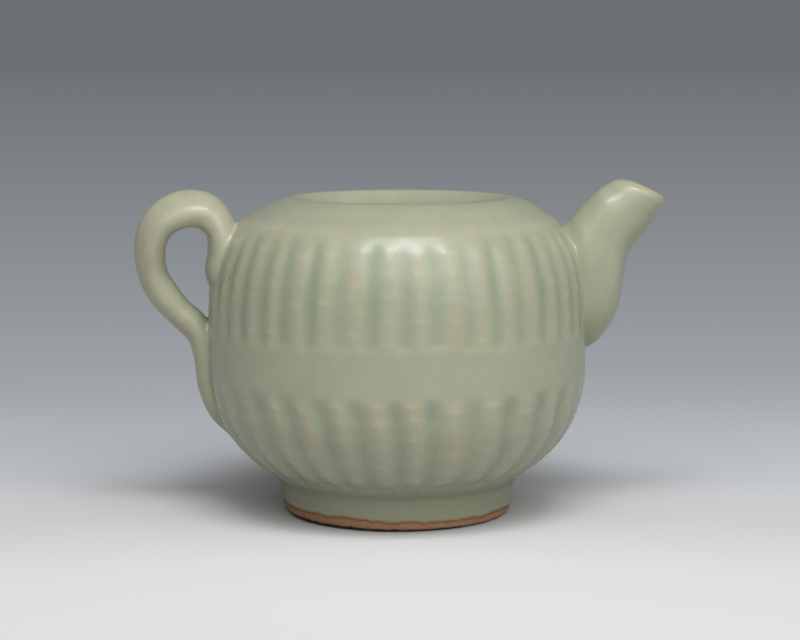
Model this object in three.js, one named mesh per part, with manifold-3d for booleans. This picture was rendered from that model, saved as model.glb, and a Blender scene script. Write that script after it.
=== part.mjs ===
// A small celadon-glazed stoneware ewer for tea: a squat ribbed body on a foot ring, a sunken
// mouth with an unglazed seat for a lid, a short moulded spout and a rolled loop handle.
// The pieces are the ones that a potter makes and lutes together with slip before firing:
// two press-moulded halves of the body, the shoulder, the seat ring, the foot ring, the two
// moulded halves of the spout, and the handle.
// Millimetres, +Z up. The origin is on the body's axis, on the plane that the foot stands on.
// The spout points along +X and the handle along -X.

import * as THREE from "three";
import { mergeVertices } from "three/addons/utils/BufferGeometryUtils.js";
import Module from "manifold-3d";

const wasm = await Module();
wasm.setup();

// Driving sizes of the body
const BELLY_RADIUS = 50;
const RIM_HEIGHT = 83.5;
const RIM_RADIUS = 29;
const EDGE_RADIUS = 42.2; // the ridge where the shoulder meets the ribbed wall
const EDGE_HEIGHT = 77.1;
const SEAM_HEIGHT = 42.6; // the luted seam, hidden in the plain band
const WALL = 4.2;
const LUTE_GAP = 0.3; // slip between pieces that fit against the curved wall

// Foot ring
const FOOT_RADIUS = 30.2;
const FOOT_TOP_RADIUS = 31;
const FOOT_HEIGHT = 9.5;
const FOOT_WALL = 4.8;
const FOOT_BEVEL = 0.8;
const BASE_THICKNESS = 4;
const UNDERCUT_RADIUS = 34.2; // where the bowl turns out over the foot
const UNDERCUT_HEIGHT = 11;

// Ribs and the plain band between their two tiers
const UPPER_RIB_COUNT = 42;
const LOWER_RIB_COUNT = 32;
const FACETS_PER_RIB = 3;
const UPPER_GROOVE_DEPTH = 0.9;
const LOWER_GROOVE_DEPTH = 1.1;
const BAND_BELOW_SEAM = 5.4;
const BAND_ABOVE_SEAM = 5.7;
const LOWER_RIB_END_HEIGHT = 12.7;
const UPPER_RIB_TURN_SHARE = 0.7; // how far the upper tier is turned, in pitches of a rib
const PLAIN_FACET_COUNT = 64;
const BAND_BOTTOM_HEIGHT = SEAM_HEIGHT - BAND_BELOW_SEAM;
const BAND_TOP_HEIGHT = SEAM_HEIGHT + BAND_ABOVE_SEAM;

// Sunken mouth
const RECESS_RADIUS = 22.4; // at the seat, where the dished wall from the rim ends
const SEAT_HEIGHT = 80.5;
const SEAT_LAP = 4.2; // how far the seat ring reaches under the shoulder
const SEAT_THICKNESS = 3.4;
const SEAT_REBATE = 1.2; // the step in the seat ring that the shoulder's wall stands on
const MOUTH_RADIUS = 16.5;
const MOUTH_ROUNDING = 0.9;

// Spout
const SPOUT_OUT = 20.8; // from the belly out to the tip of the lip
const SPOUT_TOP_HEIGHT = 88.2;
const SPOUT_TIP_HEIGHT = 82.9;
const SPOUT_LIP_INSET = 12.8; // from the tip back to the upper corner of the lip
const SPOUT_ROOT_TOP_HEIGHT = 75.5;
const SPOUT_ROOT_BOTTOM_HEIGHT = 43;
const SPOUT_ROOT_HALF_WIDTH = 10;
const SPOUT_SINK = 7; // how far the root starts inside the belly, before the cut
const SPOUT_WALL = 2.3;
const SPOUT_RINGS = 12;
const SPOUT_SIDES = 20;
const SPOUT_HOLE_RADIUS = 5;
const SPOUT_HOLE_HEIGHT = 58;
const BORE_OVERRUN = 3;

// Handle
const HANDLE_OUT = 17.5; // from the wall out to the middle of the grip
const HANDLE_TOP_HEIGHT = 80.8;
const HANDLE_TAIL_HEIGHT = 21;
const HANDLE_THICKNESS = 9.6; // of the roll at its thick upper end
const HANDLE_WIDTH = 10.8;
const HANDLE_LEAN = 7.2; // the upper end is luted on this far in front of the lower one
const HANDLE_RINGS = 34;
const HANDLE_SIDES = 14;

const CUT_OVERRUN = 20;

const { lerp } = THREE.MathUtils;

// Glaze over a grey stoneware body, and the same body where it is bare and fired brown
const celadon = () =>
  new THREE.MeshStandardMaterial({ color: 0xa3a98a, roughness: 0.3, metalness: 0 });
const bareClay = () =>
  new THREE.MeshStandardMaterial({ color: 0xa87452, roughness: 0.85, metalness: 0 });

// A closed mesh as a solid that can be cut and joined.
function solidFrom(geometry) {
  const bare = geometry.clone();
  bare.deleteAttribute("normal");
  bare.deleteAttribute("uv");
  const merged = mergeVertices(bare);
  return new wasm.Manifold(
    new wasm.Mesh({
      numProp: 3,
      vertProperties: merged.attributes.position.array,
      triVerts: new Uint32Array(merged.index.array),
    }),
  );
}

// A solid back as a geometry, flat shaded.
function geometryFrom(solid) {
  const { vertProperties, triVerts } = solid.getMesh();
  const geometry = new THREE.BufferGeometry();
  geometry.setAttribute("position", new THREE.BufferAttribute(vertProperties, 3));
  geometry.setIndex(new THREE.BufferAttribute(triVerts, 1));
  geometry.computeVertexNormals();
  return geometry;
}

function named(name, geometry, material) {
  const mesh = new THREE.Mesh(geometry, material);
  mesh.name = name;
  return mesh;
}

// Outlines: each point is [radius, height], and grooves cut it to the depth given as a third number.

// The outer wall of the lower half, from the undercut up to the seam. Its radius follows a
// squarish curve: 1 minus the distance below the belly to a power.
const LOWER_CURVE_POWER = 2.9;
function lowerRadius(height) {
  const below = (SEAM_HEIGHT - height) / (SEAM_HEIGHT - UNDERCUT_HEIGHT);
  return lerp(BELLY_RADIUS, UNDERCUT_RADIUS, Math.pow(Math.max(below, 0), LOWER_CURVE_POWER));
}

// The outer wall of the upper half, from the seam up to the ridge.
const UPPER_CURVE_POWER = 4.2;
function upperRadius(height) {
  const above = (height - SEAM_HEIGHT) / (EDGE_HEIGHT - SEAM_HEIGHT);
  return lerp(BELLY_RADIUS, EDGE_RADIUS, Math.pow(Math.max(above, 0), UPPER_CURVE_POWER));
}

// How far out the outer wall is at a height.
function wallRadius(height) {
  if (height < SEAM_HEIGHT) return lowerRadius(height);
  return upperRadius(Math.min(height, EDGE_HEIGHT));
}

const LOWER_WALL_STEP_SHARES = [0.1, 0.25, 0.45, 0.7, 1];
const UPPER_WALL_STEP_SHARES = [0, 0.3, 0.55, 0.72, 0.85, 0.94];
const RIB_FADE = 1.6; // the length over which a groove ends

function lowerOutline(offset) {
  const points = [
    [FOOT_TOP_RADIUS + offset, FOOT_HEIGHT, 0],
    [UNDERCUT_RADIUS + offset, UNDERCUT_HEIGHT, 0],
    [lowerRadius(LOWER_RIB_END_HEIGHT) + offset, LOWER_RIB_END_HEIGHT, 0],
  ];
  for (const share of LOWER_WALL_STEP_SHARES) {
    const height = lerp(LOWER_RIB_END_HEIGHT, BAND_BOTTOM_HEIGHT - RIB_FADE / 2, share);
    points.push([lowerRadius(height) + offset, height, LOWER_GROOVE_DEPTH]);
  }
  points.push([lowerRadius(BAND_BOTTOM_HEIGHT) + offset, BAND_BOTTOM_HEIGHT, 0]);
  points.push([lowerRadius(SEAM_HEIGHT) + offset, SEAM_HEIGHT, 0]);
  return points;
}

function upperOutline(offset) {
  const points = [
    [upperRadius(SEAM_HEIGHT) + offset, SEAM_HEIGHT, 0],
    [upperRadius(BAND_TOP_HEIGHT) + offset, BAND_TOP_HEIGHT, 0],
  ];
  for (const share of UPPER_WALL_STEP_SHARES) {
    const height = lerp(BAND_TOP_HEIGHT + RIB_FADE, EDGE_HEIGHT, share);
    points.push([upperRadius(height) + offset, height, UPPER_GROOVE_DEPTH]);
  }
  points.push([EDGE_RADIUS + offset, EDGE_HEIGHT, 0]);
  return points;
}

// The shoulder, from the ridge over the rim and down into the recess: a curve through a few places,
// each a share of the way in from the ridge to the rim and a share of the way up.
const SHOULDER_IN_SHARES = [0.09, 0.27, 0.5, 0.74, 0.9];
const SHOULDER_UP_SHARES = [0.12, 0.46, 0.75, 0.93, 0.99];
const RIM_DROP_SHARES = [0.08, 0.4, 0.8]; // down from the rim to the seat
const RIM_TURN_SHARES = [0.15, 0.42, 0.75]; // in from the rim to the seat
function shoulderOutline() {
  const points = SHOULDER_IN_SHARES.map((share, i) => [
    lerp(EDGE_RADIUS, RIM_RADIUS, share),
    lerp(EDGE_HEIGHT, RIM_HEIGHT, SHOULDER_UP_SHARES[i]),
    0,
  ]);
  points.push([RIM_RADIUS, RIM_HEIGHT, 0]);
  RIM_TURN_SHARES.forEach((share, i) =>
    points.push([
      lerp(RIM_RADIUS, RECESS_RADIUS, share),
      lerp(RIM_HEIGHT, SEAT_HEIGHT, RIM_DROP_SHARES[i]),
      0,
    ]),
  );
  points.push([RECESS_RADIUS, SEAT_HEIGHT, 0]);
  points.push([RECESS_RADIUS, SEAT_HEIGHT - SEAT_REBATE, 0]);
  return points;
}

// An outline turned round the body's axis. Where it has a groove depth, every rib starts with a groove:
// the first of each rib's facets is pushed in.
function turned(outline, ribs, facets, turnShare = 0) {
  const points = outline.map(([radius, height]) => new THREE.Vector2(radius, height));
  const turn = (turnShare / ribs) * 2 * Math.PI;
  const geometry = new THREE.LatheGeometry(points, ribs * facets, turn);
  const position = geometry.attributes.position;
  for (let i = 0; i < position.count; i++) {
    const column = Math.floor(i / points.length) % facets;
    const [radius, , depth] = outline[i % points.length];
    if (column === 0 && depth > 0) {
      const pushedIn = 1 - depth / radius;
      position.setX(i, position.getX(i) * pushedIn);
      position.setZ(i, position.getZ(i) * pushedIn);
    }
  }
  geometry.rotateX(Math.PI / 2);
  return geometry;
}

// The whole body with no hollow, grown by the slip's thickness: what the spout and handle are cut to.
function bodyCutter() {
  const lower = solidFrom(
    turned(
      [[0, FOOT_HEIGHT, 0], ...lowerOutline(LUTE_GAP), [0, SEAM_HEIGHT, 0]],
      LOWER_RIB_COUNT,
      FACETS_PER_RIB,
    ),
  );
  const upper = solidFrom(
    turned(
      [[0, SEAM_HEIGHT, 0], ...upperOutline(LUTE_GAP), [0, EDGE_HEIGHT, 0]],
      UPPER_RIB_COUNT,
      FACETS_PER_RIB,
      UPPER_RIB_TURN_SHARE,
    ),
  );
  const cap = shoulderOutline()
    .slice(0, SHOULDER_IN_SHARES.length)
    .map(([radius, height]) => [radius + LUTE_GAP, height + LUTE_GAP, 0]);
  const top = solidFrom(
    turned(
      [
        [0, EDGE_HEIGHT, 0],
        [EDGE_RADIUS + LUTE_GAP, EDGE_HEIGHT, 0],
        ...cap,
        [0, RIM_HEIGHT + LUTE_GAP, 0],
      ],
      PLAIN_FACET_COUNT,
      1,
    ),
  );
  return lower.add(upper).add(top);
}

// A tube from end to end of its length: place says where the point at (along, across, aside) goes,
// along from 0 to 1, and across and aside within a unit circle.
function loft(rings, sides, place) {
  const geometry = new THREE.CylinderGeometry(1, 1, 1, sides, rings);
  const position = geometry.attributes.position;
  for (let i = 0; i < position.count; i++) {
    const p = place(position.getY(i) + 1 / 2, position.getX(i), position.getZ(i));
    position.setXYZ(i, p.x, p.y, p.z);
  }
  return solidFrom(geometry);
}

// A smooth value along a length, through values that are evenly spread.
function along(values) {
  const curve = new THREE.SplineCurve(values.map((v, i) => new THREE.Vector2(i, v)));
  return (t) => curve.getPoint(t).y;
}

const bodySolid = bodyCutter();

function lowerBowl() {
  const inner = [
    [lowerRadius(SEAM_HEIGHT) - WALL, SEAM_HEIGHT, 0],
    [lowerRadius(BAND_BOTTOM_HEIGHT) - WALL, BAND_BOTTOM_HEIGHT, 0],
    [lowerRadius((BAND_BOTTOM_HEIGHT + LOWER_RIB_END_HEIGHT) / 2) - WALL,
      (BAND_BOTTOM_HEIGHT + LOWER_RIB_END_HEIGHT) / 2, 0],
    [FOOT_TOP_RADIUS + WALL, LOWER_RIB_END_HEIGHT + WALL, 0],
    [FOOT_TOP_RADIUS - WALL, FOOT_HEIGHT + BASE_THICKNESS, 0],
    [0, FOOT_HEIGHT + BASE_THICKNESS, 0],
  ];
  const outline = [[0, FOOT_HEIGHT, 0], ...lowerOutline(0), ...inner];
  return turned(outline, LOWER_RIB_COUNT, FACETS_PER_RIB);
}

const INNER_WALL_STEP_SHARES = [0.92, 0.7, 0.4];
function upperWall() {
  const inner = INNER_WALL_STEP_SHARES.map((share) => {
    const height = lerp(SEAM_HEIGHT, EDGE_HEIGHT, share);
    return [upperRadius(height) - WALL, height, 0];
  });
  const outline = [
    ...upperOutline(0),
    [EDGE_RADIUS - WALL, EDGE_HEIGHT, 0],
    ...inner,
    [BELLY_RADIUS - WALL, SEAM_HEIGHT, 0],
    [upperRadius(SEAM_HEIGHT), SEAM_HEIGHT, 0],
  ];
  const wall = solidFrom(
    turned(outline, UPPER_RIB_COUNT, FACETS_PER_RIB, UPPER_RIB_TURN_SHARE),
  );
  const hole = new THREE.CylinderGeometry(
    SPOUT_HOLE_RADIUS,
    SPOUT_HOLE_RADIUS,
    WALL + CUT_OVERRUN,
    SPOUT_SIDES,
  );
  hole.rotateZ(Math.PI / 2);
  hole.translate(BELLY_RADIUS, 0, SPOUT_HOLE_HEIGHT);
  return geometryFrom(wall.subtract(solidFrom(hole)));
}

function shoulder() {
  const underside = [
    [RECESS_RADIUS + SEAT_LAP, SEAT_HEIGHT - SEAT_REBATE, 0],
    [EDGE_RADIUS - WALL, EDGE_HEIGHT, 0],
    [EDGE_RADIUS, EDGE_HEIGHT, 0],
  ];
  const outline = [[EDGE_RADIUS, EDGE_HEIGHT, 0], ...shoulderOutline(), ...underside];
  return turned(outline, PLAIN_FACET_COUNT, 1);
}

function seatRing() {
  const bottom = SEAT_HEIGHT - SEAT_THICKNESS;
  const outer = RECESS_RADIUS + SEAT_LAP;
  const inside = RECESS_RADIUS - LUTE_GAP;
  const step = SEAT_HEIGHT - SEAT_REBATE;
  return turned(
    [
      [outer, step, 0],
      [inside, step, 0],
      [inside, SEAT_HEIGHT, 0],
      [MOUTH_RADIUS + MOUTH_ROUNDING, SEAT_HEIGHT, 0],
      [MOUTH_RADIUS, SEAT_HEIGHT - MOUTH_ROUNDING, 0],
      [MOUTH_RADIUS, bottom + MOUTH_ROUNDING, 0],
      [MOUTH_RADIUS + MOUTH_ROUNDING, bottom, 0],
      [outer - MOUTH_ROUNDING, bottom, 0],
      [outer, step, 0],
    ],
    PLAIN_FACET_COUNT,
    1,
  );
}

function footRing() {
  const inner = FOOT_RADIUS - FOOT_WALL;
  return turned(
    [
      [inner, FOOT_HEIGHT, 0],
      [inner, FOOT_BEVEL, 0],
      [inner + FOOT_BEVEL, 0, 0],
      [FOOT_RADIUS - FOOT_BEVEL, 0, 0],
      [FOOT_RADIUS, FOOT_BEVEL, 0],
      [FOOT_TOP_RADIUS, FOOT_HEIGHT, 0],
      [inner, FOOT_HEIGHT, 0],
    ],
    PLAIN_FACET_COUNT,
    1,
  );
}

// The spout is strung between two rails in the plane of the spout: its upper edge and its lower
// edge. Each place on a rail is a share of the way out from the root to the tip, and a share of
// the way up from the root's bottom to the lip.
const SPOUT_ROOT_RADIUS = BELLY_RADIUS - SPOUT_SINK;
const SPOUT_REACH = BELLY_RADIUS + SPOUT_OUT;
const SPOUT_UPPER_OUT_SHARES = [0, 0.06, 0.13, 0.22, 0.33, 0.5];
const SPOUT_UPPER_UP_SHARES = [0, 0.12, 0.3, 0.53, 0.78, 1];
const SPOUT_LOWER_OUT_SHARES = [0, 0.3, 0.5, 0.6, 0.63, 0.68, 0.82, 1];
const SPOUT_LOWER_UP_SHARES = [0, 0.02, 0.16, 0.33, 0.5, 0.66, 0.8, 1];
const SPOUT_WIDTH_SHARES = [1, 1, 0.95, 0.88, 0.8, 0.7];

function spoutRail(outShares, upShares, endRadius, bottom, top) {
  const reach = endRadius - SPOUT_ROOT_RADIUS;
  return new THREE.SplineCurve(
    outShares.map(
      (share, i) =>
        new THREE.Vector2(
          SPOUT_ROOT_RADIUS + reach * share,
          lerp(bottom, top, upShares[i]),
        ),
    ),
  );
}

const upperRail = spoutRail(
  SPOUT_UPPER_OUT_SHARES.map((s) => s / SPOUT_UPPER_OUT_SHARES.at(-1)),
  SPOUT_UPPER_UP_SHARES,
  SPOUT_REACH - SPOUT_LIP_INSET,
  SPOUT_ROOT_TOP_HEIGHT,
  SPOUT_TOP_HEIGHT,
);
const lowerRail = spoutRail(
  SPOUT_LOWER_OUT_SHARES,
  SPOUT_LOWER_UP_SHARES,
  SPOUT_REACH,
  SPOUT_ROOT_BOTTOM_HEIGHT,
  SPOUT_TIP_HEIGHT,
);
const spoutHalfWidth = along(SPOUT_WIDTH_SHARES.map((s) => s * SPOUT_ROOT_HALF_WIDTH));

// The spout's section at a share of its length, thinned by inset all round. Past either end it
// goes straight on.
function spoutSection(t, inset) {
  const clamped = Math.min(Math.max(t, 0), 1);
  const upper = upperRail.getPoint(clamped);
  const lower = lowerRail.getPoint(clamped);
  const span = lower.clone().sub(upper);
  return {
    middle: upper.clone().add(lower).multiplyScalar(1 / 2),
    out: span.clone().normalize(),
    half: span.length() / 2 - inset,
    width: spoutHalfWidth(clamped) - inset,
  };
}

function spoutTube(inset) {
  return loft(SPOUT_RINGS, SPOUT_SIDES, (t, across, aside) => {
    const { middle, out, half, width } = spoutSection(t, inset);
    const overrun = inset > 0 && t > 1 - 1e-6 ? BORE_OVERRUN : 0;
    return new THREE.Vector3(
      middle.x + out.x * half * across - out.y * overrun,
      -aside * width,
      middle.y + out.y * half * across + out.x * overrun,
    );
  });
}

function spoutHalf(front) {
  const shell = spoutTube(0).subtract(spoutTube(SPOUT_WALL)).subtract(bodySolid);
  const side = new THREE.BoxGeometry(
    SPOUT_REACH + CUT_OVERRUN,
    SPOUT_ROOT_HALF_WIDTH + CUT_OVERRUN,
    SPOUT_TOP_HEIGHT + CUT_OVERRUN,
  );
  const half = (SPOUT_ROOT_HALF_WIDTH + CUT_OVERRUN) / 2;
  side.translate(SPOUT_REACH, front ? -half : half, SPOUT_TOP_HEIGHT / 2);
  return geometryFrom(shell.intersect(solidFrom(side)));
}

// The handle's middle line, from the upper root round the loop to the end of the tail. Each place
// stands off the wall at its own height by a share of the grip's distance, and has a share of the
// way up from the tail to the top, and a share of the lean.
const HANDLE_OUT_SHARES = [
  -0.33, -0.1, 0.18, 0.57, 0.98, 1.13, 1, 0.85, 0.63, 0.38, 0.17, 0.05, 0, -0.02, -0.08,
];
const HANDLE_UP_SHARES = [
  0.69, 0.82, 0.92, 1, 0.98, 0.9, 0.79, 0.7, 0.6, 0.52, 0.45, 0.34, 0.21, 0.09, 0,
];
const HANDLE_LEAN_SHARES = [
  1, 1, 1, 0.93, 0.84, 0.74, 0.62, 0.5, 0.36, 0.22, 0.12, 0.05, 0.02, 0, 0,
];
const HANDLE_THICKNESS_SHARES = [
  0.84, 0.95, 1, 1, 0.96, 0.9, 0.84, 0.82, 0.81, 0.79, 0.74, 0.68, 0.64, 0.6, 0.5,
];
const HANDLE_WIDTH_SHARES = [
  0.9, 1, 1, 1, 0.97, 0.93, 0.9, 0.9, 0.91, 0.93, 0.97, 1, 1, 0.94, 0.7,
];

function handle() {
  const middle = new THREE.CatmullRomCurve3(
    HANDLE_OUT_SHARES.map((share, i) => {
      const height = lerp(HANDLE_TAIL_HEIGHT, HANDLE_TOP_HEIGHT, HANDLE_UP_SHARES[i]);
      return new THREE.Vector3(
        -wallRadius(height) - HANDLE_OUT * share,
        -HANDLE_LEAN * HANDLE_LEAN_SHARES[i],
        height,
      );
    }),
  );
  const thickness = along(HANDLE_THICKNESS_SHARES);
  const width = along(HANDLE_WIDTH_SHARES);
  const sideways = new THREE.Vector3(0, 1, 0);
  const roll = loft(HANDLE_RINGS, HANDLE_SIDES, (t, across, aside) => {
    const tangent = middle.getTangent(t);
    const outward = new THREE.Vector3().crossVectors(tangent, sideways).normalize();
    const half = (HANDLE_THICKNESS / 2) * thickness(t);
    const halfWidth = (HANDLE_WIDTH / 2) * width(t);
    return middle
      .getPoint(t)
      .addScaledVector(outward, half * across)
      .addScaledVector(sideways, halfWidth * aside);
  });
  return geometryFrom(roll.subtract(bodySolid));
}

const ewer = new THREE.Group();
ewer.add(named("lower_bowl", lowerBowl(), celadon()));
ewer.add(named("upper_wall", upperWall(), celadon()));
ewer.add(named("shoulder", shoulder(), celadon()));
ewer.add(named("lid_seat_ring", seatRing(), bareClay()));
ewer.add(named("foot_ring", footRing(), celadon()));
ewer.add(named("spout_front_half", spoutHalf(true), celadon()));
ewer.add(named("spout_back_half", spoutHalf(false), celadon()));
ewer.add(named("handle", handle(), celadon()));

export default ewer;
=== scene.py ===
"""The looks of a small ribbed celadon ewer: a glazed body, a foot with a bare edge, a bare seat for a
lid in the sunken mouth, a spout and a rolled handle, each luted on with a fillet of glaze.

Every shape is a grid of points worked out as whole arrays. Metres, +Z up, spout towards +X.
"""

import math

import bpy
import numpy as np
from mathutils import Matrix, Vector


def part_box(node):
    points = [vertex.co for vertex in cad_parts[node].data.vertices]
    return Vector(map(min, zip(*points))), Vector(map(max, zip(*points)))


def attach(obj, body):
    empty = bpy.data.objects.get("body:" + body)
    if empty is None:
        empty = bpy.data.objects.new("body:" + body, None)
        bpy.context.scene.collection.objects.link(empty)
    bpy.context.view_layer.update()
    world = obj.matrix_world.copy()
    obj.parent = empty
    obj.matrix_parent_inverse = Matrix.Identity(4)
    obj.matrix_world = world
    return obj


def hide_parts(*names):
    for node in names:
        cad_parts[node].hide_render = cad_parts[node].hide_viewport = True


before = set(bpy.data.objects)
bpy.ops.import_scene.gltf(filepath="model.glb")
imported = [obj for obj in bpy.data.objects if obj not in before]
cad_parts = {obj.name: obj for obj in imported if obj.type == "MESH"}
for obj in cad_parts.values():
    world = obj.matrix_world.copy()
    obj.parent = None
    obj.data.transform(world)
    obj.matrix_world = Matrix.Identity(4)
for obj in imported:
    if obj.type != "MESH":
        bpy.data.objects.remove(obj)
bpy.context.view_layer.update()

MM = 0.001

# Sizes that the frame gives

BELLY_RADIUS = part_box("lower_bowl")[1].y
SEAM_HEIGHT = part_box("upper_wall")[0].z
EDGE_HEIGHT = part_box("upper_wall")[1].z
EDGE_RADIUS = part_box("shoulder")[1].y
RIM_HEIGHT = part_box("shoulder")[1].z
SEAT_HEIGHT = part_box("lid_seat_ring")[1].z
SEAT_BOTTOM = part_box("lid_seat_ring")[0].z
SEAT_OUTER_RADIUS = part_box("lid_seat_ring")[1].y
FOOT_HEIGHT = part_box("foot_ring")[1].z
FOOT_TOP_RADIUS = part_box("foot_ring")[1].y
SPOUT_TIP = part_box("spout_front_half")[1].x
SPOUT_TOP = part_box("spout_front_half")[1].z

# The body's outline

WALL = 4.2 * MM
UNDERCUT_RADIUS = 34.2 * MM
UNDERCUT_HEIGHT = 11 * MM
FOOT_RADIUS = 30.2 * MM
FOOT_BEVEL = 0.9 * MM
LOWER_CURVE_POWER = 2.9
UPPER_CURVE_POWER = 4.2
SHOULDER_POWER = 1.6
RIM_RADIUS = 28.4 * MM
RECESS_RADIUS = 22.4 * MM
RIM_SHIFT = 1.1 * MM  # the mouth sits this far towards the spout
BELLY_EASE = 0.2 * MM  # room for the wobble inside the frame's box
FLOOR_HEIGHT = 13.5 * MM
EDGE_ROUNDING = 1.1 * MM
CORNER_ROUNDING = 2.6 * MM  # the glaze fills the corner between the foot and the wall
WALL_POINTS = 400
SHOULDER_POINTS = 120

# Ribs

UPPER_RIBS = 42
LOWER_RIBS = 32
# The grooves that face the front, in degrees from the front towards the spout, where a scratch
# script found them in the photo. The rest are spread evenly over the back.
UPPER_GROOVES = (-59.9, -51.8, -43, -35.3, -25.8, -17, -7, 2.4, 11.5, 21.3, 30.3, 39, 48.6, 57.2)
LOWER_GROOVES = (-55.9, -44.6, -33.5, -22.6, -11.9, -0.6, 9.7, 22.8, 34.5, 47.5)
UPPER_DEPTH = 0.42 * MM
LOWER_DEPTH = 0.85 * MM
UPPER_RIB_LOW = 48.4 * MM
UPPER_RIB_HIGH = 76.6 * MM
LOWER_RIB_LOW = 12.9 * MM
LOWER_RIB_HIGH = 36.9 * MM
LOWER_SLANT = math.radians(0.085) / MM  # the lower ribs run a little to the right on their way down
GROOVE_SHARE = 0.95  # of a rib's width that the groove beside it rounds off
GROOVE_SHARE_SPREAD = 0.1
GROOVE_DEPTH_SPREAD = 0.2
CHATTER_SPACINGS = (2.9 * MM, 3.9 * MM, 5.6 * MM)
UPPER_CHATTER = 0.8  # the upper ribs' ridges, as a share of the lower ones'
END_RAGGEDNESS = 0.35 * MM
LOWER_END_REACH = 2.2 * MM  # the lower grooves end this much higher than the ribs beside them
PAST_END_DEPTH = 0.6  # how deep the wall is cut below the lower ribs, as a share of their depth

# How far the small forms stand out from the wall
CHATTER_RELIEF = 0.08 * MM
RIDGE_RELIEF = 0.08 * MM
HOLLOW_RELIEF = -0.04 * MM
RIB_END_RELIEF = 0.07 * MM
WALL_WOBBLE = 0.12 * MM

# How thick the glaze lies on plain wall, from 0 to 1, and what each form adds to that. What is added
# at the tops of the lower grooves and past the lower ribs' ends, in the undercut, is painted shade.
PLAIN_GLAZE = 0.5
GLAZE_ADDED = {
    "groove": 0.34,
    "tier": -0.14,
    "chatter": -0.22,
    "ridge": -0.22,
    "hollow": 0.06,
    "rib_foot": -0.14,
    "rib_head": -0.1,
    "groove_top_shade": 0.08,
    "past_end": 0.2,
}

ALL_GLAZED = 10.0  # millimetres above the glaze's edge, for pieces that have no edge

BODY_COLUMNS = 504
BODY_ROW_SPACING = 0.66 * MM
INSIDE_ROW_SPACING = 6 * MM


# Shaping helpers


def ease(low, high, value):
    """0 at low, 1 at high, and an S-curve between: 3t squared less 2t cubed, t being the share of
    the way."""
    t = np.clip((value - low) / (high - low), 0, 1)
    return t * t * (3 - 2 * t)


def bump(middle, width, value):
    """A bell curve of height 1 at the middle: e to the minus square of the distance over the width."""
    return np.exp(-(((value - middle) / width) ** 2))


def ripple(angle, waves, seed):
    """Waves round the circle: a sum of cosines, one for each whole number of waves, with seeded
    phases."""
    phases = np.random.default_rng(seed).uniform(0, 2 * np.pi, len(waves))
    return sum(np.cos(n * angle + p) for n, p in zip(waves, phases)) / math.sqrt(len(waves))


def resample(path, count):
    """The same path with count points, evenly spread by length."""
    steps = np.linalg.norm(np.diff(path, axis=0), axis=1)
    along = np.concatenate([[0], np.cumsum(steps)])
    wanted = np.linspace(0, along[-1], count)
    return np.stack([np.interp(wanted, along, path[:, i]) for i in range(path.shape[1])], -1)


def length_of(path):
    """The sum of the distances between neighbouring points."""
    return np.linalg.norm(np.diff(path, axis=0), axis=1).sum()


def soften(path, reach, spacing=0.1 * MM):
    """A path with its corners rounded: each point is the bell-weighted mean of those within reach."""
    dense = resample(path, int(length_of(path) / spacing) + 2)
    span = int(2 * reach / spacing)
    weights = np.exp(-((np.arange(-span, span + 1) * spacing / reach) ** 2) * 2)
    weights /= weights.sum()
    out = 2 * dense[0] - dense[span:0:-1]
    end = 2 * dense[-1] - dense[-2 : -span - 2 : -1]
    padded = np.concatenate([out, dense, end])
    return np.stack([np.convolve(padded[:, i], weights, "valid") for i in range(path.shape[1])], -1)


def curve_through(places, count=600):
    """A uniform Catmull-Rom curve through the places: on each stretch a cubic whose slope at a
    place is half the way between its two neighbours."""
    p = np.concatenate([[2 * places[0] - places[1]], places, [2 * places[-1] - places[-2]]])
    at = np.linspace(0, len(places) - 1, count)
    k = np.minimum(at.astype(int), len(places) - 2)
    t = (at - k)[:, None]
    a, b, c, d = p[k], p[k + 1], p[k + 2], p[k + 3]
    return b + 0.5 * t * (c - a + t * (2 * a - 5 * b + 4 * c - d + t * (3 * (b - c) + d - a)))


# The wall of the body, as radius and relief


def wall_outline(height):
    """The outer wall's radius: the belly's, less a power of the distance below or above the seam."""
    below = np.clip((SEAM_HEIGHT - height) / (SEAM_HEIGHT - UNDERCUT_HEIGHT), 0, None)
    above = np.clip((height - SEAM_HEIGHT) / (EDGE_HEIGHT - SEAM_HEIGHT), 0, None)
    drawn_in = (BELLY_RADIUS - UNDERCUT_RADIUS) * below**LOWER_CURVE_POWER
    return BELLY_RADIUS - drawn_in - (BELLY_RADIUS - EDGE_RADIUS) * above**UPPER_CURVE_POWER


def shoulder_height(radius):
    """The shoulder's height: from the ridge to the rim it rises as 1 less a power of what is left."""
    left = np.clip((radius - RIM_RADIUS) / (EDGE_RADIUS - RIM_RADIUS), 0, 1)
    return EDGE_HEIGHT + (RIM_HEIGHT - EDGE_HEIGHT) * (1 - left**SHOULDER_POWER)


def outside():
    """The outline of the outside, from the foot's edge up the wall and over the shoulder to the rim,
    as the foot's part and the body's: straight and curved stretches with rounded corners, and more
    rounding in the corner over the foot."""
    foot_side = [[FOOT_RADIUS, 0], [FOOT_TOP_RADIUS, FOOT_HEIGHT - 0.6 * MM]]
    heights = np.linspace(UNDERCUT_HEIGHT + 0.4 * MM, EDGE_HEIGHT, WALL_POINTS)
    wall = np.stack([wall_outline(heights), heights], -1)
    radii = np.linspace(EDGE_RADIUS, RIM_RADIUS, SHOULDER_POINTS)[1:]
    shoulder = np.stack([radii, shoulder_height(radii)], -1)
    corners = np.concatenate([foot_side, wall, shoulder])
    path = soften(corners, EDGE_ROUNDING)
    softer = soften(corners, CORNER_ROUNDING)
    height = path[:, 1:]
    near_corner = ease(FOOT_HEIGHT + 7 * MM, FOOT_HEIGHT + 2 * MM, height)
    near_corner = near_corner * ease(2 * MM, 5 * MM, height)
    path = path + (softer - path) * near_corner
    joint = np.searchsorted(path[:, 1], FOOT_HEIGHT)
    return path[:joint], path[joint - 1 :]


FOOT_PATH, OUTER_PATH = outside()
ROUND_HEIGHTS = np.maximum.accumulate(OUTER_PATH[:, 1])


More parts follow.
